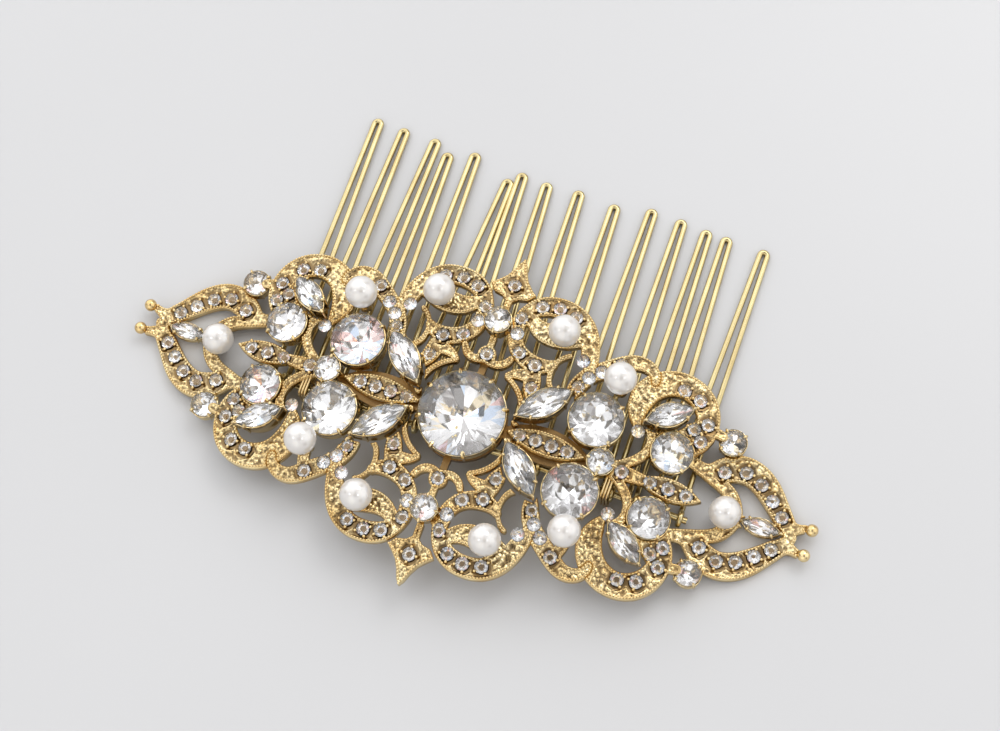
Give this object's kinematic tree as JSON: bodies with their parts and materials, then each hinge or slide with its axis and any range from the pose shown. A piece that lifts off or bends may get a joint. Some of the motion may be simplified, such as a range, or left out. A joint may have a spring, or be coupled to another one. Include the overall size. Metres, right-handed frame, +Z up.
{
  "type": "decorative hair comb",
  "caption": "Decorative wire hair comb with a domed, filigree ornament of clear crystals and pearls, pushed into hair to hold and dress it.",
  "frame": {"origin": "centre of the comb's outline on the surface that it lies on, with the ornament 8.3 mm toward -Y of it", "axes": "+X along the ornament's length, +Y from the ornament toward the tips of the teeth, +Z up, out of the jewelled face"},
  "size_m": [0.102, 0.066, 0.0129],
  "materials": {
    "cast_gold": "antiqued pale gold plating, engraved and beaded",
    "setting_gold": "polished pale gold plating",
    "comb_wire": "bright drawn wire, pale gold plating",
    "lashing_wire": "thin drawn wire, gold plating",
    "crystal": "clear faceted glass with a silver foil back",
    "pearl": "glossy nacre-coated bead"
  },
  "bodies": {
    "root": {"accent_crystals": "crystal", "accent_cups": "setting_gold", "axis_pave_stones": "crystal", "centre_crystal": "crystal", "centre_cup": "setting_gold", "centre_frame": "cast_gold", "comb_rail": "comb_wire", "crescent_navette_crystals": "crystal", "crescent_navette_cups": "setting_gold", "crescent_pave_stones": "crystal", "crescent_scroll_front_left": "cast_gold", "crescent_scroll_front_right": "cast_gold", "crescent_scroll_rear_left": "cast_gold", "crescent_scroll_rear_right": "cast_gold", "crest_front": "cast_gold", "crest_rear": "cast_gold", "drop_crystals": "crystal", "drop_cups": "setting_gold", "end_navette_crystals": "crystal", "end_navette_cups": "setting_gold", "end_wing_left": "cast_gold", "end_wing_right": "cast_gold", "four_stone_leaf_left": "cast_gold", "four_stone_leaf_right": "cast_gold", "inner_pearl_scroll_front_left": "cast_gold", "inner_pearl_scroll_front_right": "cast_gold", "inner_pearl_scroll_rear_left": "cast_gold", "inner_pearl_scroll_rear_right": "cast_gold", "large_crystals": "crystal", "large_cups": "setting_gold", "lashing_wires": "lashing_wire", "outer_pearl_scroll_front_left": "cast_gold", "outer_pearl_scroll_front_right": "cast_gold", "outer_pearl_scroll_rear_left": "cast_gold", "outer_pearl_scroll_rear_right": "cast_gold", "pearl_posts": "setting_gold", "pearls": "pearl", "petal_crystals": "crystal", "petal_cups": "setting_gold", "scroll_pave_stones": "crystal", "small_crystals": "crystal", "small_cups": "setting_gold", "three_stone_leaf_left": "cast_gold", "three_stone_leaf_right": "cast_gold", "tooth_01": "comb_wire", "tooth_02": "comb_wire", "tooth_03": "comb_wire", "tooth_04": "comb_wire", "tooth_05": "comb_wire", "tooth_06": "comb_wire", "tooth_07": "comb_wire", "tooth_08": "comb_wire", "tooth_09": "comb_wire", "tooth_10": "comb_wire", "tooth_11": "comb_wire", "tooth_12": "comb_wire", "tooth_13": "comb_wire", "tooth_14": "comb_wire", "tooth_15": "comb_wire", "wing_pave_stones": "crystal"}
  },
  "joints": []
}
